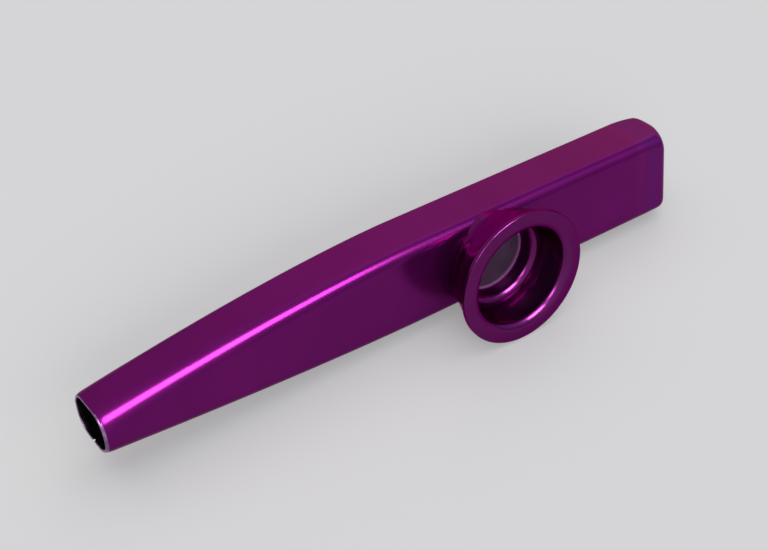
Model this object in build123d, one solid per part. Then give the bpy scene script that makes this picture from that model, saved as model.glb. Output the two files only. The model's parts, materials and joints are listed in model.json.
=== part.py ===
from build123d import *
import math
import os

# A metal kazoo in millimetres: a drawn shell closed by a back plate, and a turret whose
# screwed horn clamps a film. It is built with X along the body from the mouthpiece, Y across it
# and Z out of the front face, then laid down.

# Body
BODY_LENGTH = 122.5
BODY_WIDTH = 17.0
BODY_DEPTH = 10.4
WALL = 0.6
FRONT_EDGE_RADIUS = 2.2
BACK_EDGE_RADIUS = 0.5
END_SIDE_REACH = 3.4
END_SIDE_FALL = 4.4
END_FRONT_REACH = 3.5
END_FRONT_FALL = 6.0
END_BACK_RADIUS = 2.5
SMALLEST_BEND = 0.2
BEND_LIFT = 0.02
LARGEST_BEND_SHARE = 0.48

# Taper from the straight part of the body to the mouthpiece
TAPER_LENGTH = 62.0
TAPER_POWER = 1.6
TAPER_STATIONS = 7
STATION_CROWDING = 1.5
MOUTH_WIDTH = 8.4
MOUTH_DEPTH = 11.3
MOUTH_RISE = 1.5
MOUTH_FRONT_RADIUS = 3.9
MOUTH_BACK_RADIUS = 3.7

# Back plate: height of its turned-up edge, where the seam with the shell lies.
# On one side the edge rises along the taper to a lap in the mouthpiece.
PLATE_EDGE = 1.2
LAP_HEIGHT = 7.0

# Air outlet in the far end
OUTLET_LENGTH = 8.0
OUTLET_HEIGHT = 2.6
OUTLET_LEVEL = 4.2

# Turret collar, staked into the front face
TURRET_X = 77.5
COLLAR_RADIUS = 8.4
COLLAR_HEIGHT = 1.85
COLLAR_EDGE = 0.25
SPIGOT_RADIUS = 7.8
SPIGOT_DEPTH = 1.6
SADDLE_DEPTH = 1.5

# Screw thread between the horn and the collar
THREAD_RADIUS = 7.85
THREAD_DEPTH = 0.35
THREAD_CLEARANCE = 0.1
THREAD_PITCH = 0.75
THREAD_TURNS = 1.6
THREAD_ROOT_WIDTH = 0.42
THREAD_CREST_WIDTH = 0.14
THREAD_BITE = 0.1

# Film and the ring that holds its edge
SEAT_DROP = 0.4
SEAT_RADIUS = 6.4
FILM_THICKNESS = 0.1
RING_THICKNESS = 0.5
RING_WIDTH = 0.8
RING_CLEARANCE = 0.1

# Horn
HORN_RIM_RADIUS = 13.0
HORN_HEIGHT = 9.85
HORN_BORE = 6.95
HORN_GAP = 0.1
CUP_RADIUS = 10.4
CUP_WALL = 1.0
CUP_FLOOR = 1.5
CUP_FILLET = 0.8
SHOULDER_ROUND = 1.45
FLARE_RADIUS = 11.25
FLARE_HEIGHT = 5.0
RIM_LAND = 1.0
RIM_ROUND = 1.5
RIM_EDGE = 0.2


def body_section(station, inset):
    """Rounded outline of the body at a distance from the mouthpiece, drawn in by inset on every side."""
    share = (1 - station / TAPER_LENGTH) ** TAPER_POWER

    def mix(straight, mouth):
        return straight + (mouth - straight) * share

    half = mix(BODY_WIDTH, MOUTH_WIDTH) / 2 - inset
    low = mix(0, MOUTH_RISE) + inset
    high = mix(BODY_DEPTH, MOUTH_RISE + MOUTH_DEPTH) - inset
    limit = LARGEST_BEND_SHARE * min(2 * half, high - low)
    front = min(max(mix(FRONT_EDGE_RADIUS, MOUTH_FRONT_RADIUS) - inset, SMALLEST_BEND), limit)
    back = min(max(mix(BACK_EDGE_RADIUS, MOUTH_BACK_RADIUS) - inset, SMALLEST_BEND), limit)
    corners = [(-half, low), (half, low), (half, high), (-half, high)]
    outline = FilletPolyline(*corners, radius=[back, back, front, front], close=True)
    return Plane.YZ.offset(station) * make_face(outline)


def bent_end(inset):
    """Prism across the body whose side view bends over at the far end, drawn in by inset."""
    far = BODY_LENGTH - inset
    front = BODY_DEPTH - inset
    reach = END_FRONT_REACH - inset
    fall = END_FRONT_FALL - inset
    round_back = END_BACK_RADIUS - inset
    start = TAPER_LENGTH - BODY_DEPTH
    outline = [
        EllipticalCenterArc((far - reach, front - fall), reach, fall + BEND_LIFT, 0, arc_size=90),
        Polyline((far - reach, front + BEND_LIFT), (start, front + BODY_DEPTH), (start, -BODY_DEPTH),
                 (far - round_back, inset - BEND_LIFT)),
        EllipticalCenterArc((far - round_back, inset + round_back), round_back, round_back + BEND_LIFT,
                            -90, arc_size=90),
        Line((far, inset + round_back), (far, front - fall)),
    ]
    face = Plane.XZ * make_face([edge for line in outline for edge in line.edges()])
    return extrude(face, BODY_WIDTH, both=True)


def body_solid(inset):
    """Body drawn in by inset: a lofted taper and a straight block with a rounded far end."""
    steps = [1 - i / (TAPER_STATIONS - 1) for i in range(TAPER_STATIONS)]
    stations = [TAPER_LENGTH * (1 - step**STATION_CROWDING) for step in steps]
    taper = loft([body_section(station, inset) for station in stations])
    far = BODY_LENGTH - inset
    half = BODY_WIDTH / 2 - inset
    reach = END_SIDE_REACH - inset
    fall = END_SIDE_FALL - inset
    outline = [
        EllipticalCenterArc((far - reach, half - fall), reach, fall, 0, arc_size=90),
        Polyline((far - reach, half), (TAPER_LENGTH, half), (TAPER_LENGTH, -half), (far - reach, -half)),
        EllipticalCenterArc((far - reach, fall - half), reach, fall, -90, arc_size=90),
        Line((far, fall - half), (far, half - fall)),
    ]
    plan = Pos(0, 0, inset) * make_face([edge for line in outline for edge in line.edges()])
    block = extrude(plan, BODY_DEPTH - 2 * inset)
    for level, radius in ((-1, FRONT_EDGE_RADIUS), (0, BACK_EDGE_RADIUS)):
        loop = block.edges().group_by(Axis.Z)[level]
        rounded = [edge for edge in loop if edge.center().X > TAPER_LENGTH + SMALLEST_BEND / 2]
        block = fillet(rounded, max(radius - inset, SMALLEST_BEND))
    return taper + (block & bent_end(inset))


def turned(outline):
    """Solid turned about the turret axis from a closed (radius, height) outline, 0 high on the front face."""
    return on_turret(revolve(Plane.XZ * make_face(outline), Axis.Z))


def turned_steps(*corners):
    """Solid turned from straight steps between (radius, height) corners."""
    return turned(Polyline(*corners, close=True))


def on_turret(piece):
    """Piece moved from the origin to where the turret axis leaves the front face."""
    return Pos(TURRET_X, 0, BODY_DEPTH) * piece


def thread_ridge(foot_radius, crest_radius, start):
    """Helical ridge between two radii, its foot sunk into the wall that carries it."""
    outward = 1 if crest_radius > foot_radius else -1
    foot = foot_radius - outward * THREAD_BITE
    half_foot = THREAD_ROOT_WIDTH / 2
    half_crest = THREAD_CREST_WIDTH / 2
    corners = [(foot, -half_foot), (foot_radius, -half_foot), (crest_radius, -half_crest),
               (crest_radius, half_crest), (foot_radius, half_foot), (foot, half_foot)]
    path = Helix(THREAD_PITCH, THREAD_PITCH * THREAD_TURNS, foot_radius, center=(0, 0, start))
    profile = Plane.XZ * Pos(0, start) * make_face(Polyline(*corners, close=True))
    return on_turret(sweep(profile, path=path, is_frenet=True))


film_base = -SEAT_DROP
ring_base = film_base + FILM_THICKNESS
ring_top = ring_base + RING_THICKNESS
ring_radius = THREAD_RADIUS - THREAD_DEPTH - 2 * RING_CLEARANCE
pocket_radius = ring_radius + RING_CLEARANCE
cup_base = COLLAR_HEIGHT + HORN_GAP
cup_floor = cup_base + CUP_FLOOR
thread_start = ring_top + THREAD_ROOT_WIDTH / 2
spigot_root = THREAD_RADIUS - THREAD_CLEARANCE - THREAD_DEPTH
spigot_crest = THREAD_RADIUS - THREAD_CLEARANCE


def make_body():
    """Shell and back plate, parted along the seam that runs round the back of the body."""
    outside = body_solid(0)
    tube = outside - body_solid(WALL)
    tube -= turned_steps((0, -SPIGOT_DEPTH), (SPIGOT_RADIUS, -SPIGOT_DEPTH), (SPIGOT_RADIUS, WALL), (0, WALL))
    outlet = Pos(0, OUTLET_LEVEL) * SlotOverall(OUTLET_LENGTH, OUTLET_HEIGHT)
    tube -= extrude(Plane.YZ.offset(BODY_LENGTH) * outlet, 2 * WALL, both=True)
    halves = []
    for side, start in ((1, MOUTH_RISE + PLATE_EDGE), (-1, LAP_HEIGHT)):
        seam = [(0, start), (TAPER_LENGTH, PLATE_EDGE), (BODY_LENGTH, PLATE_EDGE),
                (BODY_LENGTH, -WALL), (0, -WALL)]
        face = make_face(Polyline(*[(x, 0, z) for x, z in seam], close=True))
        halves.append(extrude(face, BODY_WIDTH, dir=(0, side, 0)))
    behind = halves[0] + halves[1]
    return tube - behind, tube & behind, outside


def make_collar(outside):
    """Neck ring: saddle foot on the shell, spigot through it, film seat and internal thread."""
    foot = turned_steps((0, -SADDLE_DEPTH), (COLLAR_RADIUS, -SADDLE_DEPTH),
                        (COLLAR_RADIUS, COLLAR_HEIGHT - COLLAR_EDGE),
                        (COLLAR_RADIUS - COLLAR_EDGE, COLLAR_HEIGHT), (0, COLLAR_HEIGHT)) - outside
    spigot = turned_steps((0, -SPIGOT_DEPTH), (SPIGOT_RADIUS, -SPIGOT_DEPTH), (SPIGOT_RADIUS, 0), (0, 0))
    bore = turned_steps((0, -2 * SPIGOT_DEPTH), (SEAT_RADIUS, -2 * SPIGOT_DEPTH), (SEAT_RADIUS, film_base),
                        (pocket_radius, film_base), (pocket_radius, ring_top), (THREAD_RADIUS, ring_top),
                        (THREAD_RADIUS, 2 * COLLAR_HEIGHT), (0, 2 * COLLAR_HEIGHT))
    return foot + spigot - bore + thread_ridge(THREAD_RADIUS, THREAD_RADIUS - THREAD_DEPTH, thread_start)


def make_film():
    """Film disc on its seat and the ring on top of it."""
    hole = ring_radius - RING_WIDTH
    disc = turned_steps((0, film_base), (ring_radius, film_base), (ring_radius, ring_base), (0, ring_base))
    ring = turned_steps((hole, ring_base), (ring_radius, ring_base), (ring_radius, ring_top),
                        (hole, ring_top))
    return disc, ring


def make_horn():
    """Bell cup: threaded spigot, rounded base, flared wall, rounded rim and a stepped bore."""
    land_base = HORN_HEIGHT - RIM_LAND
    inner = CUP_RADIUS - CUP_WALL
    base_radius = CUP_RADIUS - CUP_FILLET
    wall_start = (CUP_RADIUS, cup_base + CUP_FILLET)
    flare = (FLARE_RADIUS, FLARE_HEIGHT)
    flare_top = (HORN_RIM_RADIUS - RIM_EDGE, land_base - RIM_EDGE)
    rim_start = (inner + RIM_ROUND, HORN_HEIGHT)
    wall_top = (inner, HORN_HEIGHT - RIM_ROUND)
    floor_inside = (HORN_BORE + SHOULDER_ROUND, cup_floor)
    shoulder = (HORN_BORE, cup_floor - SHOULDER_ROUND)
    outline = [
        Polyline(shoulder, (HORN_BORE, ring_top), (spigot_root, ring_top), (spigot_root, cup_base),
                 (base_radius, cup_base)),
        TangentArc((base_radius, cup_base), wall_start, tangent=(1, 0)),
        Spline(wall_start, flare, flare_top, tangents=[(0.1, 1), (0.6, 1)]),
        Polyline(flare_top, (HORN_RIM_RADIUS, land_base), (HORN_RIM_RADIUS, HORN_HEIGHT - RIM_EDGE),
                 (HORN_RIM_RADIUS - RIM_EDGE, HORN_HEIGHT), rim_start),
        TangentArc(rim_start, wall_top, tangent=(-1, 0)),
        Polyline(wall_top, (inner, cup_floor), floor_inside),
        TangentArc(floor_inside, shoulder, tangent=(-1, 0)),
    ]
    cup = turned([edge for line in outline for edge in line.edges()])
    return cup + thread_ridge(spigot_root, spigot_crest, thread_start + THREAD_PITCH / 2)


def resting_place(pieces):
    """Location that lays the kazoo on its rim and back edge, with the origin below its middle."""
    rise = HORN_RIM_RADIUS - (BODY_WIDTH / 2 - BACK_EDGE_RADIUS)
    reach = BODY_DEPTH + HORN_HEIGHT - RIM_LAND - BACK_EDGE_RADIUS
    lean = math.atan2(rise, reach) - math.asin(BACK_EDGE_RADIUS / math.hypot(rise, reach))
    laid = Rot(90 - math.degrees(lean), 0, 0)
    box = (laid * Compound(pieces)).bounding_box()
    return Pos(-box.center().X, -box.center().Y, -box.min.Z) * laid


body_shell, back_plate, outside = make_body()
film_disc, film_ring = make_film()
nodes = {
    "body_shell": body_shell,
    "back_plate": back_plate,
    "turret_collar": make_collar(outside),
    "film_disc": film_disc,
    "film_ring": film_ring,
    "horn_cup": make_horn(),
}
place = resting_place(list(nodes.values()))

os.makedirs("parts", exist_ok=True)
for name, solid in nodes.items():
    export_step(place * solid, f"parts/{name}.step")
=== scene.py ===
"""Looks of a purple metal kazoo lying on a pale table: its tapered body, turret, horn and film."""

import json
import logging
import math
from collections.abc import Iterator
from contextlib import contextmanager
from dataclasses import dataclass, fields
from enum import Enum
from typing import ClassVar, TypeAlias

import bmesh
import bpy
from bpy.types import Material, Mesh, Node, NodeSocket, NodeTree, NodeTreeInterfaceSocket, Object
from mathutils import Matrix, Vector


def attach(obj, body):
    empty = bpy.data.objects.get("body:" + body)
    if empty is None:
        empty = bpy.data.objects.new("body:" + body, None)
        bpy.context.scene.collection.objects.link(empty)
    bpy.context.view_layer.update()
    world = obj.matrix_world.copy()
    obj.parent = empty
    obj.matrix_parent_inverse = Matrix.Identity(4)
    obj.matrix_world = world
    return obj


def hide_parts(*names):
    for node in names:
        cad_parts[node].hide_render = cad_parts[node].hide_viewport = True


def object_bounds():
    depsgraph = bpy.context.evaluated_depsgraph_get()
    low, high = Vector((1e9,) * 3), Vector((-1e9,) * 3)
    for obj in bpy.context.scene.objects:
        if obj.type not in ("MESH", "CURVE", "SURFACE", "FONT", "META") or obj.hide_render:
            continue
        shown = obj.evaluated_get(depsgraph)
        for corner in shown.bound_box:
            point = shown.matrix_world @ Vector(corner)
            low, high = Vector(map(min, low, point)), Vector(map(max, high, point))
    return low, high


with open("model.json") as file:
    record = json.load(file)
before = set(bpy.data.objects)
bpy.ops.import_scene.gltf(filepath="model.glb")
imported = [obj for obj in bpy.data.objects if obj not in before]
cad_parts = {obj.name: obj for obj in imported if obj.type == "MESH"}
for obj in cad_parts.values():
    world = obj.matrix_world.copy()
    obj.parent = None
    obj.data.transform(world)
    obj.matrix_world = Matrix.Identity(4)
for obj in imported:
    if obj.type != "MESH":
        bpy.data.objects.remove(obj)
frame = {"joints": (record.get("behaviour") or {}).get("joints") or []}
cad_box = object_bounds()

Pair: TypeAlias = tuple[float, float]
Triple: TypeAlias = tuple[float, float, float]
Colour: TypeAlias = tuple[float, float, float, float]
Stop: TypeAlias = tuple[float, Colour]
Number: TypeAlias = "Field | float"
Given: TypeAlias = "Field | float | bool | str | Triple | Colour"

MM = 0.001
QUARTER_TURN = math.pi / 2
FULL_TURN = 2 * math.pi
HALF_TURN_DEGREES = 180
SHARP_ANGLE = math.radians(38)
MERGE_DISTANCE = 1e-7
NO_LENGTH = 1e-9
BEND_STEPS = 8
FLOW_STEPS = 20
log = logging.getLogger("kazoo")


class BodyName(Enum):
    """Bodies that the pieces ride on."""

    BODY = "body"
    FILM = "film"
    HORN = "horn"


class Slot(Enum):
    """Material slots of the record."""

    METAL = "purple_anodised"
    RING = "film_ring"
    FILM = "film"


class Grain(Enum):
    """Which way the fine marks of making run on a metal surface."""

    DRAWN = "along the body"
    TURNED = "round the turret"


class Cut(Enum):
    """What a cutter does to the piece that it meets."""

    AWAY = "DIFFERENCE"
    KEEP = "INTERSECT"


@dataclass(frozen=True)
class LaidFrame:
    """The instrument's own axes as it lies: along the body, across it and out of its front face."""

    origin: Vector
    out: Vector

    @classmethod
    def from_joint(cls, joint: dict) -> "LaidFrame":
        """Read the axes from the horn's joint, whose axis leaves the front face at the origin."""
        return cls(Vector(joint["pos_m"]), Vector(joint["axis"]).normalized())

    def matrix(self) -> Matrix:
        """Work out how the instrument's own axes lie.

        Returns:
            The matrix from those axes to the frame.
        """
        along = Vector((1, 0, 0))
        across = self.out.cross(along)
        turn = Matrix((along, across, self.out)).transposed().to_4x4()
        return Matrix.Translation(self.origin) @ turn


# Node helpers


def feed(tree: NodeTree, socket: NodeSocket, value: Given) -> None:
    """Give a node's input a plain value, or link a worked out value to it.

    Args:
        tree: the tree that holds the node.
        socket: the input.
        value: a field to link, or a plain value.
    """
    if isinstance(value, Field):
        tree.links.new(value.socket, socket)
    else:
        socket.default_value = value


class Field:
    """A value worked out inside a node tree, which takes plain arithmetic."""

    def __init__(self, tree: NodeTree, socket: NodeSocket) -> None:
        """Keep the tree and the socket that gives the value."""
        self.tree = tree
        self.socket = socket

    def apply(self, operation: str, *others: Number) -> "Field":
        """Add a math node that works on this value.

        Args:
            operation: the node's operation.
            others: the operation's other numbers.

        Returns:
            The node's result.
        """
        node = self.tree.nodes.new("ShaderNodeMath")
        node.operation = operation
        for socket, number in zip(node.inputs, (self, *others)):
            feed(self.tree, socket, number)
        return Field(self.tree, node.outputs[0])

    def __add__(self, other: Number) -> "Field":
        """Sum of two values."""
        return self.apply("ADD", other)

    def __sub__(self, other: Number) -> "Field":
        """Difference of two values."""
        return self.apply("SUBTRACT", other)

    def __rsub__(self, other: float) -> "Field":
        """A number less this value."""
        return self.apply("MULTIPLY_ADD", -1.0, other)

    def __mul__(self, other: Number) -> "Field":
        """Product of two values."""
        return self.apply("MULTIPLY", other)

    def __truediv__(self, other: Number) -> "Field":
        """Quotient of two values."""
        return self.apply("DIVIDE", other)

    def __pow__(self, other: Number) -> "Field":
        """This value raised to a power."""
        return self.apply("POWER", other)

    def most(self, other: Number) -> "Field":
        """The larger of two values."""
        return self.apply("MAXIMUM", other)

    def least(self, other: Number) -> "Field":
        """The smaller of two values."""
        return self.apply("MINIMUM", other)

    def between(self, low: Number, high: Number) -> "Field":
        """This value held between two limits."""
        return self.most(low).least(high)

    def over(self, other: Number) -> "Field":
        """One where this value is the larger, else zero."""
        return self.apply("GREATER_THAN", other)


class TreeBuilder:
    """Adds nodes to a tree and fills in their inputs."""

    def __init__(self, tree: NodeTree) -> None:
        """Keep the tree."""
        self.tree = tree

    def fill(self, node: Node, **given: Given) -> None:
        """Fill in a node's inputs, by name with underscores for spaces."""
        for label, value in given.items():
            feed(self.tree, node.inputs[label.replace("_", " ")], value)

    def node(self, kind: str, **given: Given) -> Node:
        """Add a node.

        Args:
            kind: the node's type.
            given: its inputs, by name with underscores for spaces.

        Returns:
            The node.
        """
        node = self.tree.nodes.new(kind)
        self.fill(node, **given)
        return node

    def read(self, node: Node, label: str) -> Field:
        """One of a node's results."""
        return Field(self.tree, node.outputs[label])

    def out(self, kind: str, label: str, **given: Given) -> Field:
        """Add a node and take one of its results."""
        return self.read(self.node(kind, **given), label)

    def ramp(self, source: Field, *stops: Stop) -> Field:
        """Add colours that follow a number.

        Args:
            source: the number.
            stops: each place from 0 to 1 with its colour.

        Returns:
            The colour.
        """
        node = self.node("ShaderNodeValToRGB", Fac=source)
        elements = node.color_ramp.elements
        for spare in list(elements)[1:]:
            elements.remove(spare)
        for number, (place, colour) in enumerate(stops):
            stop = elements[0] if number == 0 else elements.new(place)
            stop.position = place
            stop.color = colour
        return self.read(node, "Color")


class NumberTree(TreeBuilder):
    """A Geometry Nodes tree with a named input for each size that it follows."""

    def __init__(self, name: str, labels: list[str]) -> None:
        """Start the tree with its inputs.

        Args:
            name: the tree's name.
            labels: the inputs' names.
        """
        super().__init__(bpy.data.node_groups.new(name, "GeometryNodeTree"))
        self.sockets = {label: self.socket(label, "NodeSocketFloat") for label in labels}
        self.inputs = self.tree.nodes.new("NodeGroupInput")

    def socket(self, label: str, kind: str) -> NodeTreeInterfaceSocket:
        """Add a named input to the tree."""
        return self.tree.interface.new_socket(label, in_out="INPUT", socket_type=kind)

    def size(self, label: str) -> Field:
        """The value that an input gives."""
        return self.read(self.inputs, label)

    def point(self, along: Field, across: Field, out: Field) -> Field:
        """A place made of three numbers."""
        return self.out("ShaderNodeCombineXYZ", "Vector", X=along, Y=across, Z=out)

    def give(self, result: Field, label: str, kind: str) -> None:
        """Let a value be what the tree gives, under a name and as a kind of socket."""
        self.tree.interface.new_socket(label, in_out="OUTPUT", socket_type=kind)
        feed(self.tree, self.tree.nodes.new("NodeGroupOutput").inputs[0], result)


class ShapeTree(NumberTree):
    """A tree that makes one mesh from named sizes."""

    def __init__(self, name: str, sizes: dict[str, float]) -> None:
        """Start the tree with one named input for each size.

        Args:
            name: the tree's name.
            sizes: the value of each input.
        """
        super().__init__(name, list(sizes))
        self.values = sizes
        self.materials: dict[str, Material] = {}
        self.shapes: list[Field] = []

    def use(self, rule: NumberTree, **given: Field) -> Field:
        """Work a rule out in this tree.

        Args:
            rule: the rule's own tree.
            given: the rule's inputs that aren't sizes of this tree.

        Returns:
            What the rule gives.
        """
        node = self.tree.nodes.new("GeometryNodeGroup")
        node.node_tree = rule.tree
        for label in rule.sockets:
            feed(self.tree, node.inputs[label], given[label] if label in given else self.size(label))
        return Field(self.tree, node.outputs[0])

    def grid(self, rows: int, columns: int) -> tuple[Field, Field, Field]:
        """Add a flat grid to be bent into shape.

        Args:
            rows: points along it.
            columns: points across it.

        Returns:
            The grid's mesh, its share along from 0 to 1, and its whole number across from 0.
        """
        sheet = self.out("GeometryNodeMeshGrid", "Mesh", Size_X=1.0, Size_Y=1.0,
                         Vertices_X=rows, Vertices_Y=columns)
        place = self.node("ShaderNodeSeparateXYZ", Vector=self.out("GeometryNodeInputPosition", "Position"))
        share = self.read(place, "X") + 0.5
        number = ((self.read(place, "Y") + 0.5) * (columns - 1)).apply("ROUND")
        return sheet, share, number

    def disc(self, points: int) -> tuple[Field, Field]:
        """Add a flat face with many corners.

        Args:
            points: its corners.

        Returns:
            The face's mesh and the number of each corner.
        """
        face = self.node("GeometryNodeMeshCircle", Vertices=points)
        face.fill_type = "NGON"
        return self.read(face, "Mesh"), self.out("GeometryNodeInputIndex", "Index")

    def add(self, mesh: Field, place: Field, mark: str = "", where: Field | bool = True) -> None:
        """Move a mesh's points to their places and add it to the shape.

        Args:
            mesh: the mesh to move.
            place: where each point goes.
            mark: the name of a face attribute to set, if any.
            where: which of its faces get the mark.
        """
        if mark:
            store = self.node("GeometryNodeStoreNamedAttribute", Geometry=mesh, Name=mark)
            store.data_type = "BOOLEAN"
            store.domain = "FACE"
            self.fill(store, Value=where)
            mesh = self.read(store, "Geometry")
        self.shapes.append(self.out("GeometryNodeSetPosition", "Geometry", Geometry=mesh, Position=place))

    def close(self, finish: Material, marked: dict[str, Material]) -> None:
        """Join the shapes, merge their seams and give them their materials.

        Args:
            finish: the material of most faces.
            marked: other materials, by the mark of the faces that take them.
        """
        joined = self.node("GeometryNodeJoinGeometry")
        for shape in reversed(self.shapes):
            self.fill(joined, Geometry=shape)
        last = self.read(joined, "Geometry")
        last = self.out("GeometryNodeMergeByDistance", "Geometry", Geometry=last, Distance=MERGE_DISTANCE)
        last = self.out("GeometryNodeSetShadeSmooth", "Geometry", Geometry=last)
        last = self.out("GeometryNodeRealizeInstances", "Geometry", Geometry=last)
        for mark, material in [("", finish), *marked.items()]:
            label = f"{mark or 'main'} finish"
            self.materials[label] = material
            self.sockets[label] = self.socket(label, "NodeSocketMaterial")
            dress = self.node("GeometryNodeSetMaterial", Geometry=last, Material=self.size(label))
            if mark:
                chosen = self.node("GeometryNodeInputNamedAttribute", Name=mark)
                chosen.data_type = "BOOLEAN"
                self.fill(dress, Selection=self.read(chosen, "Attribute"))
            last = self.read(dress, "Geometry")
        self.give(last, "Geometry", "NodeSocketGeometry")

    def make(self, name: str, **changed: float) -> Object:
        """Run the tree on an empty mesh.

        Args:
            name: the object's name.
            changed: sizes that differ for this object.

        Returns:
            An object with the plain mesh that the tree makes.
        """
        piece = new_piece(name, bpy.data.meshes.new(name))
        modifier = piece.modifiers.new("shape", "NODES")
        modifier.node_group = self.tree
        for label, value in {**self.values, **changed, **self.materials}.items():
            modifier[self.sockets[label].identifier] = value
        settle(piece)
        return piece


# Mesh helpers


def sizes_of(part: object, kind: type) -> dict[str, float]:
    """The sizes that a part holds as numbers in the fields of a class."""
    return {size.name: getattr(part, size.name) for size in fields(kind) if size.type is float}


def new_piece(name: str, mesh: Mesh) -> Object:
    """Put a mesh into the scene as an object at the origin.

    Args:
        name: the object's name.
        mesh: its mesh.

    Returns:
        The object.
    """
    piece = bpy.data.objects.new(name, mesh)
    bpy.context.scene.collection.objects.link(piece)
    return piece


def settle(piece: Object) -> None:
    """Turn a piece and its modifiers into a plain mesh.

    Args:
        piece: the object, whose modifiers are then removed.
    """
    graph = bpy.context.evaluated_depsgraph_get()
    mesh = bpy.data.meshes.new_from_object(piece.evaluated_get(graph))
    piece.modifiers.clear()
    old = piece.data
    piece.data = mesh
    mesh.name = piece.name
    bpy.data.meshes.remove(old)


@contextmanager
def edited(mesh: Mesh) -> Iterator[bmesh.types.BMesh]:
    """Open a mesh for editing, then turn its faces outward and write it back.

    Args:
        mesh: the mesh.

    Returns:
        The open mesh, for as long as it is edited.
    """
    work = bmesh.new()
    work.from_mesh(mesh)
    yield work
    bmesh.ops.recalc_face_normals(work, faces=work.faces)
    work.to_mesh(mesh)
    work.free()


def clean(mesh: Mesh) -> None:
    """Merge a closed mesh's doubles, drop what is left of slivers and turn its faces outward.

    Args:
        mesh: the mesh.
    """
    with edited(mesh) as work:
        bmesh.ops.remove_doubles(work, verts=work.verts, dist=MERGE_DISTANCE)
        bmesh.ops.dissolve_degenerate(work, edges=work.edges, dist=MERGE_DISTANCE)


def block(*rings: list[Vector]) -> Object:
    """Make a cutter that runs through several rings of corners, closed at its first and last ring.

    Args:
        rings: the corners of each ring, in the same order.

    Returns:
        The cutter.
    """
    mesh = bpy.data.meshes.new("cutter")
    with edited(mesh) as work:
        spots = [[work.verts.new(corner) for corner in ring] for ring in rings]
        work.faces.new(spots[0])
        work.faces.new(spots[-1])
        for ring, after in zip(spots, spots[1:]):
            for step in range(len(ring)):
                work.faces.new((ring[step - 1], ring[step], after[step], after[step - 1]))
    return new_piece("cutter", mesh)


def prism(outline: list[Vector], path: Vector) -> Object:
    """Make a cutter by pushing a flat outline along a path."""
    return block(outline, [corner + path for corner in outline])


def cut(piece: Object, cutter: Object, kind: Cut) -> None:
    """Cut a piece and delete the cutter.

    Args:
        piece: the object that is cut.
        cutter: the object that cuts it.
        kind: what the cutter does.
    """
    modifier = piece.modifiers.new("cut", "BOOLEAN")
    modifier.object = cutter
    modifier.operation = kind.value
    modifier.solver = "MANIFOLD"
    settle(piece)
    mesh = cutter.data
    bpy.data.objects.remove(cutter)
    bpy.data.meshes.remove(mesh)


def lay_down(piece: Object, laid: LaidFrame, body: BodyName, slot: Slot, node: str = "") -> None:
    """Move a piece's mesh to where it lies, shade it and hand it to its body.

    Args:
        piece: the piece, in the instrument's own axes.
        laid: how the instrument lies.
        body: the body that it rides on.
        slot: the record's material slot for it; not used.
        node: the solid that it stands for, if any.
    """
    piece.data.transform(laid.matrix())
    piece.data.shade_smooth()
    piece.data.set_sharp_from_angle(angle=SHARP_ANGLE)
    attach(piece, body.value)
    if node:
        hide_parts(node)


class Outline:
    """Closed outline of a turned piece, drawn as (radius, height) points."""

    def __init__(self, radius: float, height: float) -> None:
        """Start at a point."""
        self.points: list[Pair] = [(radius, height)]

    def line(self, *corners: Pair) -> "Outline":
        """Go straight to each corner in turn."""
        self.points.extend(corners)
        return self

    def bend(self, corner: Pair, end: Pair, steps: int = BEND_STEPS) -> "Outline":
        """Go to an end by a quarter round that touches both sides of a corner.

        Args:
            corner: the corner that is rounded off.
            end: where the round stops.
            steps: how many points it gets.

        Returns:
            This outline.
        """
        start = Vector(self.points[-1])
        middle = Vector(corner)
        for step in range(1, steps + 1):
            turn = QUARTER_TURN * step / steps
            near = (start - middle) * (1 - math.sin(turn))
            far = (Vector(end) - middle) * (1 - math.cos(turn))
            self.points.append(tuple(middle + near + far))
        return self

    def flow(self, end: Pair, leave: Pair, arrive: Pair, steps: int = FLOW_STEPS) -> "Outline":
        """Go to an end by a smooth curve.

        Args:
            end: where the curve stops.
            leave: its pull where it starts.
            arrive: its pull where it stops.
            steps: how many points it gets.

        Returns:
            This outline.
        """
        start, last = Vector(self.points[-1]), Vector(end)
        for step in range(1, steps + 1):
            t = step / steps
            place = start * (2 * t**3 - 3 * t**2 + 1) + Vector(leave) * (t**3 - 2 * t**2 + t)
            place += last * (3 * t**2 - 2 * t**3) + Vector(arrive) * (t**3 - t**2)
            self.points.append(tuple(place))
        return self

    def turn(self, name: str, segments: int, finish: Material) -> Object:
        """Turn the outline about the axis, with the place of each point on it kept as an attribute.

        Args:
            name: the object's name.
            segments: steps round the axis.
            finish: the piece's material.

        Returns:
            The turned piece, on the axis and not yet laid down.
        """
        mesh = bpy.data.meshes.new(name)
        mesh.materials.append(finish)
        with edited(mesh) as work:
            drawn_at = work.verts.layers.float_vector.new("turned")
            rings = []
            for radius, height in self.points:
                ring = []
                for step in range(segments if radius > NO_LENGTH else 1):
                    angle = FULL_TURN * step / segments
                    spot = work.verts.new((radius * math.cos(angle), radius * math.sin(angle), height))
                    spot[drawn_at] = (radius, height, 0.0)
                    ring.append(spot)
                rings.append(ring)
            for ring, after in zip(rings, rings[1:] + rings[:1]):
                for step in range(segments):
                    around = ((ring, step), (ring, step + 1), (after, step + 1), (after, step))
                    corners = list(dict.fromkeys(row[place % len(row)] for row, place in around))
                    if len(corners) > 2:
                        work.faces.new(corners)
        return new_piece(name, mesh)


# Finishes


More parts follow.
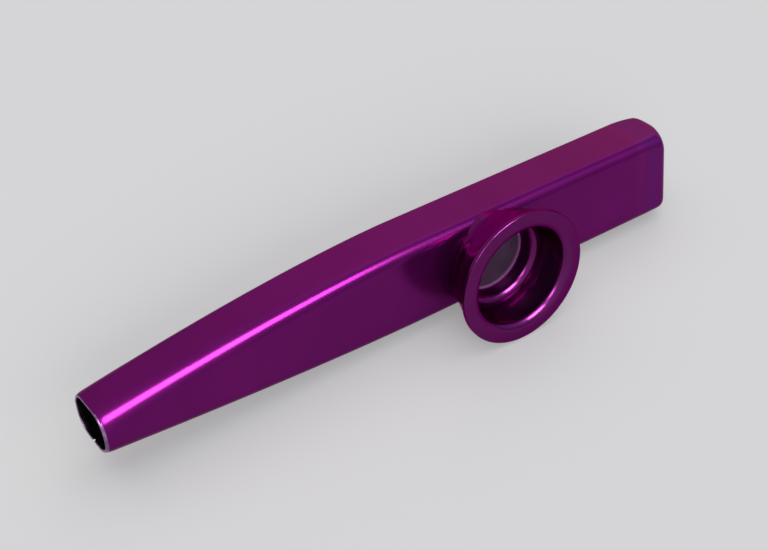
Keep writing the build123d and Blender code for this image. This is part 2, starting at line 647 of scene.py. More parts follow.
class Paint(TreeBuilder):
    """A material's node tree under construction."""

    def __init__(self, name: str) -> None:
        """Start a material that has one main shader.

        Args:
            name: the material's name.
        """
        self.material = bpy.data.materials.new(name)
        self.material.use_nodes = True
        super().__init__(self.material.node_tree)

    def set(self, **given: Given) -> None:
        """Fill in the main shader's inputs, by name with underscores for spaces."""
        self.fill(self.tree.nodes["Principled BSDF"], **given)

    def spot(self, scale: Triple = (1.0, 1.0, 1.0), attribute: str = "") -> Field:
        """Coordinates of the surface, stretched.

        Args:
            scale: how much they are stretched along each axis.
            attribute: the attribute that holds them, where they aren't the piece's own place.

        Returns:
            The stretched coordinates.
        """
        if attribute:
            source = self.node("ShaderNodeAttribute")
            source.attribute_name = attribute
            place = self.read(source, "Vector")
        else:
            place = self.out("ShaderNodeTexCoord", "Object")
        return self.out("ShaderNodeMapping", "Vector", Vector=place, Scale=scale)

    def noise(self, place: Field, scale: float, detail: float) -> Field:
        """Soft noise from 0 to 1, with so many spots in a unit of length and finer noise laid over it."""
        return self.out("ShaderNodeTexNoise", "Fac", Vector=place, Scale=scale, Detail=detail)

    def along(self, start: float, end: float) -> Field:
        """A number from 0 to 1 between two places along the instrument."""
        place = self.out("ShaderNodeSeparateXYZ", "X", Vector=self.spot())
        return self.out("ShaderNodeMapRange", "Result", Value=place, From_Min=start, From_Max=end)

    def shade(self, colour: Field, tone: Field) -> Field:
        """Multiply a colour by a tone.

        Args:
            colour: the colour.
            tone: the tone, where white changes nothing.

        Returns:
            The shaded colour.
        """
        node = self.node("ShaderNodeMixRGB", Fac=1.0, Color1=colour, Color2=tone)
        node.blend_type = "MULTIPLY"
        return self.read(node, "Color")

    def span(self, source: Field, low: float, high: float) -> Field:
        """A number from 0 to 1 stretched between two limits."""
        return self.out("ShaderNodeMapRange", "Result", Value=source, To_Min=low, To_Max=high)

    def bump(self, height: Field, depth: float, **under: Field) -> Field:
        """Unevenness of a height from 0 to 1 times a depth in metres, laid over a Normal if one is given."""
        return self.out("ShaderNodeBump", "Normal", Height=height, Distance=depth, **under)


@dataclass(frozen=True)
class AnodisedFinish:
    """Bright purple anodising over polished aluminium, as on the drawn body."""

    name: str = "drawn_purple_metal"
    grain: Grain = Grain.DRAWN
    tint: Colour = (0.128, 0.0046, 0.110, 1.0)
    deep_tint: Colour = (0.115, 0.0038, 0.098, 1.0)
    edge_tint: Colour = (0.62, 0.40, 0.54, 1.0)
    metal_share: float = 0.85
    bend_length: float = 10.0 * MM
    # Painted reflections: brighter bands with more green and blue over the bend into the far end, then
    # painted shade at the very end.
    bend_tones: tuple[Stop, ...] = (
        (0.0, (1.0, 1.0, 1.0, 1.0)),
        (0.15, (1.14, 1.6, 1.08, 1.0)),
        (0.26, (1.04, 1.5, 1.10, 1.0)),
        (0.42, (0.92, 2.0, 1.22, 1.0)),
        (0.60, (0.98, 1.6, 1.14, 1.0)),
        (0.78, (1.04, 1.3, 1.06, 1.0)),
        (0.93, (0.95, 1.0, 0.95, 1.0)),
        (0.99, (0.60, 0.7, 0.60, 1.0)),
    )
    cloud_size: float = 14.0 * MM
    cloud_detail: float = 2.0
    cloud_edges: Pair = (0.3, 0.7)
    wave_size: float = 16.0 * MM
    wave_detail: float = 0.0
    wave_depth: float = 0.006 * MM
    mark_pitch: float = 0.25 * MM
    mark_length: float = 22.0 * MM
    mark_detail: float = 3.0
    mark_depth: float = 0.0004 * MM
    smooth_roughness: float = 0.19
    dull_roughness: float = 0.27

    def material(self) -> Material:
        """Metal with a faint cloud in its tint, slow waves and fine marks of making; on the drawn body also
        painted reflections and painted shade over the bend into its far end.

        Returns:
            The material.
        """
        paint = Paint(self.name)
        plain = paint.spot()
        deep_to, bright_from = self.cloud_edges
        cloud = paint.noise(plain, 1 / self.cloud_size, self.cloud_detail)
        colour = paint.ramp(cloud, (deep_to, self.deep_tint), (bright_from, self.tint))
        across = 1 / self.mark_pitch
        if self.grain is Grain.DRAWN:
            # Painted reflections and painted shade are multiplied into the colour over the last stretch
            # before the far end.
            far_end = cad_box[1].x
            tones = paint.ramp(paint.along(far_end - self.bend_length, far_end), *self.bend_tones)
            colour = paint.shade(colour, tones)
            marked = paint.spot((1 / self.mark_length, across, across))
        else:
            marked = paint.spot((across, across, 0.0), "turned")
        marks = paint.noise(marked, 1.0, self.mark_detail)
        roughness = paint.span(marks, self.smooth_roughness, self.dull_roughness)
        waves = paint.bump(paint.noise(plain, 1 / self.wave_size, self.wave_detail), self.wave_depth)
        uneven = paint.bump(marks, self.mark_depth, Normal=waves)
        paint.set(Base_Color=colour, Metallic=self.metal_share, Specular_Tint=self.edge_tint)
        paint.set(Roughness=roughness, Normal=uneven)
        return paint.material


@dataclass(frozen=True)
class TurnedFinish(AnodisedFinish):
    """The same anodising on the turned collar and horn."""

    name: str = "turned_purple_metal"
    grain: Grain = Grain.TURNED
    tint: Colour = (0.136, 0.0160, 0.116, 1.0)
    deep_tint: Colour = (0.124, 0.0130, 0.104, 1.0)
    edge_tint: Colour = (0.72, 0.20, 0.50, 1.0)
    metal_share: float = 1.0


@dataclass(frozen=True)
class PatchyFinish:
    """Dull surface with soft patches of two colours and a fine grain."""

    name: str
    dark: Colour
    pale: Colour
    patch_size: float
    grain_size: float
    grain_depth: float
    roughness: float
    metal_share: float = 0.0
    clearness: float = 1.0
    detail: float = 2.0
    patch_edges: Pair = (0.3, 0.7)

    def material(self) -> Material:
        """Dark and pale patches under the grain.

        Returns:
            The material.
        """
        paint = Paint(self.name)
        plain = paint.spot()
        dark_to, pale_from = self.patch_edges
        patches = paint.noise(plain, 1 / self.patch_size, self.detail)
        colour = paint.ramp(patches, (dark_to, self.dark), (pale_from, self.pale))
        grain = paint.bump(paint.noise(plain, 1 / self.grain_size, self.detail), self.grain_depth)
        paint.set(Base_Color=colour, Metallic=self.metal_share, Roughness=self.roughness)
        paint.set(Alpha=self.clearness, Normal=grain)
        return paint.material


@dataclass(frozen=True)
class EdgeFinish(PatchyFinish):
    """Cut edge of the sheet metal, nearly bare, with patches of thin colour left on it."""

    name: str = "bare_sheet_edge"
    dark: Colour = (0.17, 0.07, 0.19, 1.0)
    pale: Colour = (0.30, 0.20, 0.33, 1.0)
    patch_size: float = 1.2 * MM
    grain_size: float = 0.1 * MM
    grain_depth: float = 0.004 * MM
    roughness: float = 0.38
    metal_share: float = 1.0
    patch_edges: Pair = (0.35, 0.6)


@dataclass(frozen=True)
class InsidePaintedShade(EdgeFinish):
    """Painted shade: the inside of the sheet, made near black and dull."""

    name: str = "dull_sheet_inside"
    dark: Colour = (0.022, 0.016, 0.021, 1.0)
    pale: Colour = (0.035, 0.033, 0.034, 1.0)


@dataclass(frozen=True)
class RingFinish(PatchyFinish):
    """Matt card with a fibre grain, for the ring that holds the film's edge."""

    name: str = "film_ring_card"
    dark: Colour = (0.09, 0.024, 0.09, 1.0)
    pale: Colour = (0.16, 0.045, 0.15, 1.0)
    patch_size: float = 0.35 * MM
    grain_size: float = 0.35 * MM
    grain_depth: float = 0.01 * MM
    roughness: float = 0.6
    detail: float = 4.0


@dataclass(frozen=True)
class FilmFinish(PatchyFinish):
    """Thin smoky film, half clear and a little creased."""

    name: str = "smoky_film"
    dark: Colour = (0.030, 0.017, 0.034, 1.0)
    pale: Colour = (0.048, 0.026, 0.050, 1.0)
    patch_size: float = 3.0 * MM
    grain_size: float = 3.0 * MM
    grain_depth: float = 0.05 * MM
    roughness: float = 0.42
    clearness: float = 0.6
    detail: float = 3.0


# The body


@dataclass(kw_only=True)
class BodySection:
    """Section of the body, a rounded box that narrows to the mouthpiece and bends in at its far end."""

    length: float
    turret_from_mouth: float
    width: float = 17.0 * MM
    depth: float = 10.4 * MM
    front_bend: float = 2.2 * MM
    back_bend: float = 0.5 * MM
    smallest_bend: float = 0.2 * MM
    largest_bend_share: float = 0.96
    end_side_reach: float = 2.6 * MM
    end_side_fall: float = 2.8 * MM
    end_reach: float = 3.5 * MM
    end_fall: float = 6.0 * MM
    end_back: float = 2.5 * MM
    end_round: float = 2.6 * MM
    end_round_length: float = 8.0 * MM
    end_skew: float = 0.4 * MM
    skew_length: float = 14.0 * MM
    crown_length: float = 7.0 * MM
    crown_drop: float = 0.22 * MM
    taper_length: float = 62.0 * MM
    taper_power: float = 1.6
    mouth_width: float = 8.4 * MM
    mouth_depth: float = 11.3 * MM
    mouth_rise: float = 1.5 * MM
    mouth_front_bend: float = 3.9 * MM
    mouth_back_bend: float = 3.7 * MM
    flat_step: float = 0.9 * MM
    flat_step_share: float = 0.4
    corner_points: int = 13

    @property
    def section_points(self) -> int:
        """Points round the section, which has four corners."""
        return 4 * self.corner_points

    def section_rule(self) -> NumberTree:
        """Draw the section at a distance along the body, at a depth under the skin.

        Each of its four corners has a point on the flat before it, then its round, then a point on
        the flat after it.

        Returns:
            The rule, which gives the place of a numbered point in the instrument's own axes.
        """
        rule = NumberTree("body_section", [*sizes_of(self, BodySection), "along", "drawn_in", "number"])
        size = rule.size
        along, inset = size("along"), size("drawn_in")
        share = (1 - along / size("taper_length")).most(0.0) ** size("taper_power")

        def mix(straight: str, mouth: Field) -> Field:
            """A size on its way from the straight part to the mouth."""
            return size(straight) + (mouth - size(straight)) * share

        def into_end(stretch: str) -> Field:
            """How far this section is into a stretch before the far end, from 0 to 1."""
            return ((along - size("length")) / size(stretch) + 1).most(0.0)

        def drop(reach: str, fall: str) -> Field:
            """How far a side that bends over at the far end has fallen at this section."""
            part = ((along - size("length") + size(reach)) / (size(reach) - inset)).between(0.0, 1.0)
            return (size(fall) - inset) * (1 - (1 - part * part).apply("SQRT"))

        half = mix("width", size("mouth_width")) * 0.5 - inset - drop("end_side_reach", "end_side_fall")
        low = size("mouth_rise") * share + inset + drop("end_back", "end_back")
        high = mix("depth", size("mouth_rise") + size("mouth_depth")) - inset - drop("end_reach", "end_fall")
        high = high - size("crown_drop") * into_end("crown_length") * into_end("crown_length")
        half_depth = (high - low) * 0.5

        points = float(self.corner_points)
        number = size("number").apply("MODULO", float(self.section_points))
        corner = ((number + 0.5) / points).apply("FLOOR")
        step = number - corner * points
        middle = (corner + 0.5) * QUARTER_TURN
        side = middle.apply("COSINE").apply("SIGN")
        front = middle.apply("SINE").apply("SIGN")
        at_front = front.most(0.0)

        near_end = into_end("end_round_length")
        rounder = size("end_round") * near_end * near_end * (1 - at_front * (side * -1.0).most(0.0))
        front_bend = mix("front_bend", size("mouth_front_bend"))
        back_bend = mix("back_bend", size("mouth_back_bend"))
        bend = back_bend + (front_bend - back_bend) * at_front + rounder - inset
        bend = bend.between(size("smallest_bend"), half.least(half_depth) * size("largest_bend_share"))

        on_round = ((step - 1.0) / (points - 3.0)).between(0.0, 1.0)
        angle = (corner + on_round) * QUARTER_TURN
        cosine, sine = angle.apply("COSINE"), angle.apply("SINE")
        flat = (half - bend) * sine * sine + (half_depth - bend) * cosine * cosine
        first, last = 1 - step.over(0.5), step.over(points - 1.5)
        slide = flat.least(size("flat_step")) * size("flat_step_share") * (last - first)
        across = side * (half - bend) + bend * cosine - slide * sine
        out = (low + high) * 0.5 + front * (half_depth - bend) + bend * sine + slide * cosine
        skew = into_end("skew_length") * size("end_skew")
        from_turret = along - size("turret_from_mouth") - skew * across / (size("width") * 0.5)
        rule.give(rule.point(from_turret, across, out - size("depth")), "place", "NodeSocketVector")
        return rule


@dataclass(kw_only=True)
class TaperedBody(BodySection):
    """Drawn shell and back plate, cut from one hollow tube along the seam."""

    TUBE_SIZES: ClassVar[tuple[str, ...]] = ("wall", "lip_length", "lip_drop", "lip_inner", "lip_bare_from",
                                             "lip_bare_front")
    laid: LaidFrame
    metal: Material
    edge: Material
    inside: Material
    wall: float = 0.6 * MM
    lip_length: float = 1.6 * MM
    lip_drop: float = 0.30 * MM
    lip_inner: float = 0.12 * MM
    lip_bare_from: float = 0.78
    lip_bare_front: float = 0.33
    plate_edge: float = 1.2 * MM
    plate_step: float = 0.03 * MM
    seam_gap: float = 0.004 * MM
    lap_height: float = 7.0 * MM
    lap_change: float = 0.5 * MM
    notch_length: float = 0.3 * MM
    notch_height: float = 0.35 * MM
    outlet_length: float = 8.0 * MM
    outlet_height: float = 2.6 * MM
    outlet_level: float = 4.2 * MM
    outlet_steps: int = 16
    turret_hole: float = 7.8 * MM
    turret_hole_steps: int = 96
    cut_margin: float = 5.0 * MM
    stations: int = 130
    end_stations: int = 18
    lip_stations: int = 9

    def tube_tree(self) -> ShapeTree:
        """Make the tree of the whole hollow body, closed at its far end and open at its mouth.

        Returns:
            The tree.
        """
        rule = self.section_rule()
        sizes = sizes_of(self, BodySection) | {label: getattr(self, label) for label in self.TUBE_SIZES}
        tree = ShapeTree("tapered_tube", sizes | {"inset": 0.0})
        size = tree.size

        def place(along: Field, level: Field, number: Field) -> Field:
            """The point of a section at a distance along, drawn in to a level."""
            return tree.use(rule, along=along, drawn_in=level, number=number)

        columns = self.section_points
        skin, drop, wall = size("inset"), size("lip_drop"), size("wall")
        # The inner skins are marked "inside" and get the near-black painted shade.
        for begin, level, mark in ((size("lip_length"), skin, ""), (size("lip_inner"), wall, "inside")):
            end = size("length") - level
            bent = size("end_side_reach").most(size("end_reach")) - level
            mesh, share, number = tree.grid(self.stations, columns + 1)
            tree.add(mesh, place(begin + (end - bent - begin) * share, level, number), mark)
            mesh, share, number = tree.grid(self.end_stations, columns + 1)
            along = end - bent + bent * (share * QUARTER_TURN).apply("SINE")
            tree.add(mesh, place(along, level, number), mark)
            mesh, number = tree.disc(columns)
            tree.add(mesh, place(end, level, number), mark)

        mesh, share, number = tree.grid(self.lip_stations, columns + 1)
        turn = share * QUARTER_TURN
        along = size("lip_length") * (1 - turn.apply("SINE"))
        level = skin + drop * (1 - turn.apply("COSINE"))
        facing = (number * (FULL_TURN / columns)).apply("SINE").most(0.0)
        bare = share.over(size("lip_bare_from") - size("lip_bare_front") * facing)
        tree.add(mesh, place(along, level, number), "bare edge", bare)

        mesh, share, number = tree.grid(self.lip_stations, columns + 1)
        turn = share * QUARTER_TURN
        along = size("lip_inner") * (1 - turn.apply("COSINE"))
        level = skin + drop + (wall - drop - skin) * turn.apply("SINE")
        tree.add(mesh, place(along, level, number), "bare edge")
        tree.close(self.metal, {"bare edge": self.edge, "inside": self.inside})
        return tree

    def seam_cutter(self, rise: float) -> Object:
        """Make the block behind the seam, which falls along the taper and then runs level.

        It starts higher on the side where the plate laps over the shell.

        Args:
            rise: how far it is moved out, to leave a fine gap at the seam.

        Returns:
            The cutter.
        """
        level = self.plate_edge + rise
        lapped, plain = self.lap_height, self.mouth_rise + level
        mouth = -self.turret_from_mouth
        near, far = mouth - self.cut_margin, mouth + self.length + self.cut_margin
        behind = -2 * self.depth
        rings = []
        for across, start in ((-self.width, lapped), (-self.lap_change, lapped),
                              (self.lap_change, plain), (self.width, plain)):
            first = start + (start - level) / self.taper_length * self.cut_margin
            corners = [(near, first - self.depth), (mouth + self.taper_length, level - self.depth),
                       (far, level - self.depth), (far, behind), (near, behind)]
            rings.append([Vector((along, across, out)) for along, out in corners])
        return block(*rings)

    def outlet_cutter(self) -> Object:
        """Make the slot through the far end's wall, with round ends.

        Returns:
            The cutter.
        """
        reach = 2 * self.wall
        inner_end = self.length - self.turret_from_mouth - reach
        radius = self.outlet_height / 2
        straight = self.outlet_length / 2 - radius
        outline = []
        for side in (1, -1):
            for step in range(self.outlet_steps + 1):
                angle = math.pi * (step / self.outlet_steps - 0.5)
                across = side * (straight + radius * math.cos(angle))
                out = side * radius * math.sin(angle) + self.outlet_level - self.depth
                outline.append(Vector((inner_end, across, out)))
        return prism(outline, Vector((2 * reach, 0, 0)))

    def turret_cutter(self) -> Object:
        """Make the round hole in the front face.

        Returns:
            The cutter.
        """
        radius, reach = self.turret_hole, 3 * self.wall
        turns = [FULL_TURN * step / self.turret_hole_steps for step in range(self.turret_hole_steps)]
        rim = [Vector((radius * math.cos(turn), radius * math.sin(turn), -reach)) for turn in turns]
        return prism(rim, Vector((0, 0, 2 * reach)))

    def notch_cutter(self) -> Object:
        """Make the small bite out of the lip where the lapped seam meets it.

        Returns:
            The cutter.
        """
        start = -self.turret_from_mouth - self.notch_length
        across = -self.mouth_width / 2 - self.wall
        base = self.lap_height - self.depth - self.notch_height
        long, tall = 2 * self.notch_length, self.notch_height
        corners = [(0.0, 0.0), (long, 0.0), (long, tall), (0.0, tall)]
        outline = [Vector((start + along, across, base + out)) for along, out in corners]
        return prism(outline, Vector((0, self.mouth_width / 2, 0)))

    def build(self) -> list[Object]:
        """Make the shell and the back plate and hand them to their body.

        Returns:
            The two pieces.
        """
        tube = self.tube_tree()
        shell = tube.make("shell_skin")
        clean(shell.data)
        cut(shell, self.seam_cutter(0.0), Cut.AWAY)
        cut(shell, self.turret_cutter(), Cut.AWAY)
        cut(shell, self.outlet_cutter(), Cut.AWAY)
        plate = tube.make("back_plate_skin", inset=self.plate_step)
        clean(plate.data)
        cut(plate, self.seam_cutter(-self.seam_gap), Cut.KEEP)
        cut(plate, self.notch_cutter(), Cut.AWAY)
        for piece, node in ((shell, "body_shell"), (plate, "back_plate")):
            clean(piece.data)
            lay_down(piece, self.laid, BodyName.BODY, Slot.METAL, node)
        return [shell, plate]


# The turret


@dataclass
class ThreadRidge:
    """One helical ridge on the wall of a screw, run out into the wall at both ends."""

    metal: Material
    foot_radius: float
    depth: float
    start: float
    pitch: float = 0.75 * MM
    turns: float = 1.6
    root_width: float = 0.42 * MM
    crest_width: float = 0.14 * MM
    bite: float = 0.1 * MM
    run_out: float = 0.12
    run_out_sink: float = 0.5
    segments: int = 160
    section_points: int = 6

    def build(self, name: str) -> Object:
        """Make the ridge with a tree that winds a flat strip round the axis.

        The two middle points of its section are the crest, the next on each side the feet, and the
        outer two are sunk into the wall.

        Args:
            name: the piece's name.

        Returns:
            The ridge, not yet laid down.
        """
        tree = ShapeTree("thread_ridge", sizes_of(self, ThreadRidge))
        size = tree.size
        mesh, share, number = tree.grid(self.segments + 1, self.section_points + 1)
        outward = math.copysign(1.0, self.depth)
        from_middle = number.apply("MODULO", float(self.section_points)) - (self.section_points - 1) / 2
        crest = 1 - from_middle.apply("ABSOLUTE").over(1.0)
        sunk = from_middle.apply("ABSOLUTE").over(2.0)
        fade = (share.least(1 - share) / size("run_out")).least(1.0)
        lift = size("depth") * fade - (1 - fade) * size("bite") * (size("run_out_sink") * outward)
        radius = size("foot_radius") + crest * lift - sunk * size("bite") * outward
        half = (size("root_width") + (size("crest_width") - size("root_width")) * crest) * 0.5
        turned = share * size("turns")
        height = size("start") + turned * size("pitch") + from_middle.apply("SIGN") * half
        angle = turned * FULL_TURN
        tree.add(mesh, tree.point(radius * angle.apply("COSINE"), radius * angle.apply("SINE"), height))
        tree.close(self.metal, {})
        ridge = tree.make(name)
        with edited(ridge.data) as work:
            bmesh.ops.holes_fill(work, edges=work.edges, sides=self.section_points)
        clean(ridge.data)
        return ridge


@dataclass
class Turret:
    """Neck collar on the front face, with the film's seat and the thread for the horn."""

    laid: LaidFrame
    metal: Material
    body: TaperedBody
    radius: float = 8.4 * MM
    height: float = 1.85 * MM
    edge: float = 0.25 * MM
    spigot_radius: float = 7.8 * MM
    spigot_depth: float = 1.6 * MM
    seat_radius: float = 6.4 * MM
    seat_drop: float = 0.4 * MM
    pocket_radius: float = 7.4 * MM
    pocket_top: float = 0.2 * MM
    thread_radius: float = 7.85 * MM
    thread_depth: float = 0.35 * MM
    thread_start: float = 0.41 * MM
    segments: int = 160

    def face_drop(self, across: float) -> float:
        """Work out how far the front face has bent down.

        Args:
            across: the distance from its middle line.

        Returns:
            The drop there.
        """
        bend = self.body.front_bend
        reach = min(max(abs(across) - (self.body.width / 2 - bend), 0.0), bend)
        return bend - math.sqrt(bend * bend - reach * reach)

    def build(self) -> list[Object]:
        """Make the collar, saddled on the front face, and its thread.

        Returns:
            The two pieces.
        """
        wall_top = self.height - self.edge
        outline = Outline(self.radius, 0.0).line((self.radius, wall_top))
        outline.bend((self.radius, self.height), (self.radius - self.edge, self.height))
        outline.line((self.thread_radius + self.edge / 2, self.height), (self.thread_radius, wall_top))
        outline.line((self.thread_radius, self.pocket_top), (self.pocket_radius, self.pocket_top),
                     (self.pocket_radius, -self.seat_drop), (self.seat_radius, -self.seat_drop),
                     (self.seat_radius, -self.spigot_depth), (self.spigot_radius, -self.spigot_depth),
                     (self.spigot_radius, 0.0))
        collar = outline.turn("collar_ring", self.segments, self.metal)
        for spot in collar.data.vertices:
            if abs(spot.co.z) < NO_LENGTH:
                spot.co.z = -self.face_drop(spot.co.y)
        thread = ThreadRidge(self.metal, self.thread_radius, -self.thread_depth, self.thread_start)
        ridge = thread.build("collar_thread")
        lay_down(collar, self.laid, BodyName.BODY, Slot.METAL, "turret_collar")
        lay_down(ridge, self.laid, BodyName.BODY, Slot.METAL)
        return [collar, ridge]


@dataclass
class FilmSet:
    """The buzzing film and the ring that holds its edge flat."""

    laid: LaidFrame
    card: Material
    film: Material
    radius: float = 7.3 * MM
    film_base: float = -0.4 * MM
    film_thickness: float = 0.1 * MM
    film_sag: float = 0.12 * MM
    ring_width: float = 0.8 * MM
    ring_thickness: float = 0.5 * MM
    ring_edge: float = 0.1 * MM
    segments: int = 128

    def build(self) -> list[Object]:
        """Make the film and its ring.

        Returns:
            The two pieces.
        """
        top = self.film_base + self.film_thickness
        held = self.radius - self.ring_width
        sunk = top - self.film_sag
        film = Outline(0.0, sunk).flow((held, top), (held, 0.0), (held, 2 * self.film_sag))
        film.line((self.radius, top), (self.radius, self.film_base), (held, self.film_base))
        film.flow((0.0, sunk - self.film_thickness), (-held, -2 * self.film_sag), (-held, 0.0))
        sheet = film.turn("film_sheet", self.segments, self.film)
        edge, high = self.ring_edge, top + self.ring_thickness
        ring = Outline(held, top).line((held, high - edge)).bend((held, high), (held + edge, high))
        ring.line((self.radius - edge, high)).bend((self.radius, high), (self.radius, high - edge))
        ring.line((self.radius, top))
        hoop = ring.turn("film_hoop", self.segments, self.card)
        lay_down(sheet, self.laid, BodyName.FILM, Slot.FILM, "film_disc")
        lay_down(hoop, self.laid, BodyName.FILM, Slot.RING, "film_ring")
        return [sheet, hoop]


@dataclass
class Horn:
    """Bell cup with a threaded spigot, a flared wall, a rounded rim and a stepped bore."""

    laid: LaidFrame
    metal: Material
    rim_radius: float = 13.0 * MM
    height: float = 9.85 * MM
    bore: float = 6.95 * MM
    spigot_radius: float = 7.4 * MM
    spigot_base: float = 0.2 * MM
    thread_depth: float = 0.35 * MM
    thread_start: float = 0.785 * MM
    base: float = 1.95 * MM
    base_bend: float = 0.8 * MM
    cup_radius: float = 10.4 * MM
    cup_wall: float = 1.0 * MM
    wall_pulls: Pair = (0.1, 0.45)
    wall_steps: int = 12
    flare_radius: float = 11.25 * MM
    flare_height: float = 5.0 * MM
    flare_pulls: Pair = (0.35, 0.6)
    floor: float = 3.45 * MM
    floor_dip: float = 0.35 * MM
    shoulder_bend: float = 1.45 * MM
    shoulder_steps: int = 16
    land: float = 1.0 * MM
    land_edge: float = 0.2 * MM
    edge_steps: int = 6
    rim_bend: float = 1.5 * MM
    rim_steps: int = 28
    rim_fall: float = 0.12 * MM
    segments: int = 192

    def build(self) -> list[Object]:
        """Make the bell and its thread.

        Returns:
            The two pieces.
        """
        rim, top, edge = self.rim_radius, self.height, self.land_edge
        inner = self.cup_radius - self.cup_wall
        wall_start = self.base + self.base_bend
        land_base, land_top = top - self.land, top - self.rim_fall
        bell = Outline(self.bore, self.spigot_base)
        bell.line((self.spigot_radius, self.spigot_base), (self.spigot_radius, self.base),
                  (self.cup_radius - self.base_bend, self.base))
        bell.bend((self.cup_radius, self.base), (self.cup_radius, wall_start))
        rise = self.flare_height - wall_start
        leave, arrive = ((pull * rise, rise) for pull in self.wall_pulls)
        bell.flow((self.flare_radius, self.flare_height), leave, arrive, self.wall_steps)
        rise = land_base - edge - self.flare_height
        leave, arrive = ((pull * rise, rise) for pull in self.flare_pulls)
        bell.flow((rim - edge, land_base - edge), leave, arrive)
        bell.bend((rim, land_base - edge / 2), (rim, land_base + edge / 2), self.edge_steps)
        bell.line((rim, land_top - edge)).bend((rim, land_top), (rim - edge, land_top), self.edge_steps)
        bell.line((inner + self.rim_bend, top))
        bell.bend((inner, top), (inner, top - self.rim_bend), self.rim_steps)
        bell.line((inner, self.floor - self.floor_dip), (self.bore + self.shoulder_bend, self.floor))
        bell.bend((self.bore, self.floor), (self.bore, self.floor - self.shoulder_bend), self.shoulder_steps)
        cup = bell.turn("horn_bell", self.segments, self.metal)
        thread = ThreadRidge(self.metal, self.spigot_radius, self.thread_depth, self.thread_start)
        ridge = thread.build("horn_thread")
        lay_down(cup, self.laid, BodyName.HORN, Slot.METAL, "horn_cup")
        lay_down(ridge, self.laid, BodyName.HORN, Slot.METAL)
        return [cup, ridge]


# The studio


def band(degrees: float, red: float, green: float, blue: float) -> Stop:
    """Light of the room at an angle from behind the instrument, over the top, to its front."""
    return degrees / HALF_TURN_DEGREES, (red, green, blue, 1.0)


@dataclass(frozen=True)
class SoftLight:
    """Broad soft light whose length lies along the instrument."""

    name: str
    aim: Triple
    direction: Triple
    distance: float
    length: float
    breadth: float
    radiance: float
    mirrored: bool = True
    lights_table: bool = True

    def hang(self) -> None:
        """Put the light into the scene, pointed at its aim."""
        lamp = bpy.data.lights.new(self.name, "AREA")
        lamp.shape = "RECTANGLE"
        lamp.size = self.length
        lamp.size_y = self.breadth
        lamp.energy = self.radiance * math.pi * self.length * self.breadth
        holder = bpy.data.objects.new(self.name, lamp)
        bpy.context.scene.collection.objects.link(holder)
        towards = Vector(self.direction).normalized()
        along = Vector((1, 0, 0)).cross(towards).cross(towards).normalized() * -1
        turn = Matrix((along, towards.cross(along), towards)).transposed().to_4x4()
        holder.matrix_world = Matrix.Translation(Vector(self.aim) + towards * self.distance) @ turn
        holder.visible_glossy = self.mirrored
        holder.visible_diffuse = self.lights_table


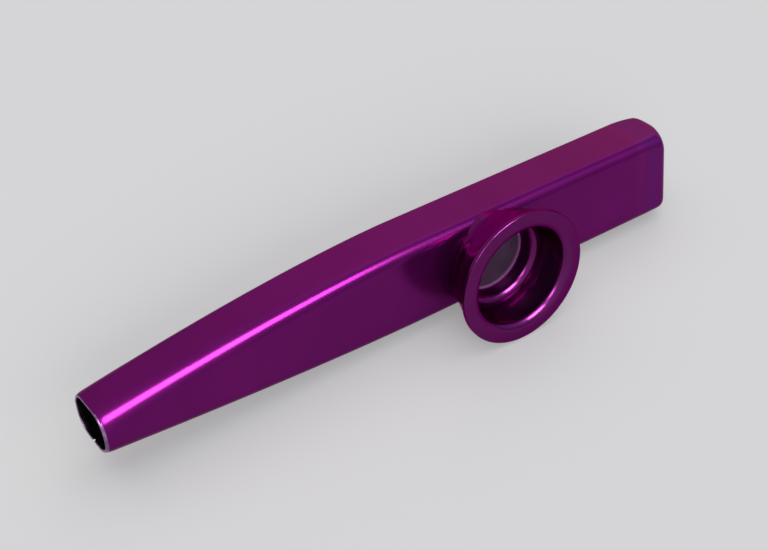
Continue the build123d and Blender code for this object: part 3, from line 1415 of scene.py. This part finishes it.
@dataclass
class Studio:
    """Pale table, the light round it and the camera."""

    floor_size: float = 24.0
    floor_colour: Colour = (0.240, 0.239, 0.240, 1.0)
    floor_roughness: float = 0.55
    floor_glow: float = 0.25
    mouth_bands: tuple[Stop, ...] = (
        band(0, 0.56, 0.44, 0.51),
        band(24, 0.63, 0.50, 0.59),
        band(44, 0.66, 0.56, 0.64),
        band(70, 0.72, 0.68, 0.74),
        band(112, 0.78, 0.78, 0.82),
        band(180, 0.80, 0.80, 0.82),
    )
    middle_change: Pair = (0.18, 0.40)
    middle_bands: tuple[Stop, ...] = (
        band(0, 0.84, 0.68, 0.68),
        band(24, 1.06, 0.86, 0.84),
        band(40, 1.10, 0.94, 0.92),
    )
    far_change: Pair = (0.44, 0.60)
    far_bands: tuple[Stop, ...] = (
        band(0, 0.86, 0.98, 0.46),
        band(24, 1.08, 1.26, 0.56),
        band(40, 1.10, 1.22, 0.70),
    )
    front_bands: tuple[Stop, ...] = (
        band(56, 1.35, 1.30, 1.35),
        band(66, 0.90, 0.86, 0.94),
        band(80, 0.32, 0.32, 0.40),
        band(92, 0.40, 0.40, 0.50),
        band(112, 0.72, 0.72, 0.95),
        band(138, 0.60, 0.60, 0.74),
        band(152, 0.34, 0.34, 0.40),
        band(180, 0.42, 0.42, 0.46),
    )
    lights: tuple[SoftLight, ...] = (
        SoftLight("softbox", (0.0, 0.0, 0.0), (0.05, 0.25, 0.90), distance=0.80,
                  length=1.30, breadth=1.10, radiance=1.65, mirrored=False),
        SoftLight("key", (-0.035, 0.0, 0.02), (0.125, -0.40, 0.88), distance=0.60,
                  length=0.34, breadth=0.26, radiance=27.0, lights_table=False),
        SoftLight("fill", (0.0, -0.02, 0.0), (-0.15, -0.85, 0.50), distance=2.00,
                  length=3.00, breadth=1.00, radiance=4.5, mirrored=False),
        SoftLight("window", (0.0, 0.0, 0.01), (-0.65, -0.30, 0.70), distance=0.60,
                  length=0.20, breadth=0.20, radiance=13.0, lights_table=False),
    )
    camera_azimuth: float = math.radians(-38.44)
    camera_elevation: float = math.radians(46.31)
    camera_roll: float = math.radians(5.50)
    camera_distance: float = 0.254
    camera_aim: Triple = (-0.00260, 0.006485, 0.009706)
    camera_lens: float = 67.2
    camera_clip: float = 0.01

    def light_room(self) -> None:
        """Surround the table with the room's light, which differs along the instrument."""
        world = bpy.data.worlds.new("studio")
        bpy.context.scene.world = world
        world.use_nodes = True
        room = TreeBuilder(world.node_tree)
        parts = room.node("ShaderNodeSeparateXYZ", Vector=room.out("ShaderNodeTexCoord", "Generated"))
        angle = room.read(parts, "Z").apply("ARCTAN2", room.read(parts, "Y")) / math.pi
        mixed = room.ramp(angle, *self.mouth_bands)
        for back, (start, end) in ((self.middle_bands, self.middle_change),
                                   (self.far_bands, self.far_change)):
            share = ((room.read(parts, "X") - start) / (end - start)).between(0.0, 1.0)
            colour = room.ramp(angle, *back, *self.front_bands)
            mixed = room.out("ShaderNodeMixRGB", "Color", Fac=share, Color1=mixed, Color2=colour)
        room.fill(room.tree.nodes["Background"], Color=mixed)

    def lay_floor(self, level: float) -> None:
        """Lay the pale table under the instrument.

        Args:
            level: its height.
        """
        half = self.floor_size / 2
        mesh = bpy.data.meshes.new("table")
        corners = [(-half, -half, level), (half, -half, level), (half, half, level), (-half, half, level)]
        mesh.from_pydata(corners, [], [(0, 1, 2, 3)])
        paint = Paint("pale_table")
        paint.set(Base_Color=self.floor_colour, Roughness=self.floor_roughness, Specular_IOR_Level=0.0)
        paint.set(Emission_Strength=self.floor_glow)
        mesh.materials.append(paint.material)
        new_piece("table", mesh)

    def place_camera(self) -> None:
        """Put the camera where the instrument is looked at from."""
        lens = bpy.data.cameras.new("photo_camera")
        lens.lens = self.camera_lens
        lens.clip_start = self.camera_clip
        holder = bpy.data.objects.new("photo_camera", lens)
        bpy.context.scene.collection.objects.link(holder)
        level = math.cos(self.camera_elevation)
        view = Vector((-math.sin(self.camera_azimuth) * level, math.cos(self.camera_azimuth) * level,
                       -math.sin(self.camera_elevation)))
        turn = view.to_track_quat("-Z", "Y").to_matrix().to_4x4() @ Matrix.Rotation(self.camera_roll, 4, "Z")
        holder.matrix_world = Matrix.Translation(Vector(self.camera_aim) - view * self.camera_distance) @ turn
        bpy.context.scene.camera = holder

    def build(self) -> None:
        """Set up the table, the light and the camera."""
        bpy.context.scene.view_settings.view_transform = "Standard"
        self.light_room()
        for light in self.lights:
            light.hang()
        self.lay_floor(cad_box[0].z)
        self.place_camera()


def main() -> None:
    """Build the instrument piece by piece, then the studio round it."""
    logging.basicConfig(level=logging.INFO, format="%(name)s: %(message)s")
    screw = next(joint for joint in frame["joints"] if joint["name"] == "horn_screw")
    laid = LaidFrame.from_joint(screw)
    low, high = cad_box
    turned = TurnedFinish().material()
    body = TaperedBody(laid=laid, metal=AnodisedFinish().material(), edge=EdgeFinish().material(),
                       inside=InsidePaintedShade().material(), length=high.x - low.x,
                       turret_from_mouth=laid.origin.x - low.x)
    turret = Turret(laid, turned, body)
    film_set = FilmSet(laid, RingFinish().material(), FilmFinish().material())
    for assembly in (body, turret, film_set, Horn(laid, turned)):
        for piece in assembly.build():
            log.info("%s: %d faces", piece.name, len(piece.data.polygons))
    Studio().build()


if __name__ == "__main__":
    main()
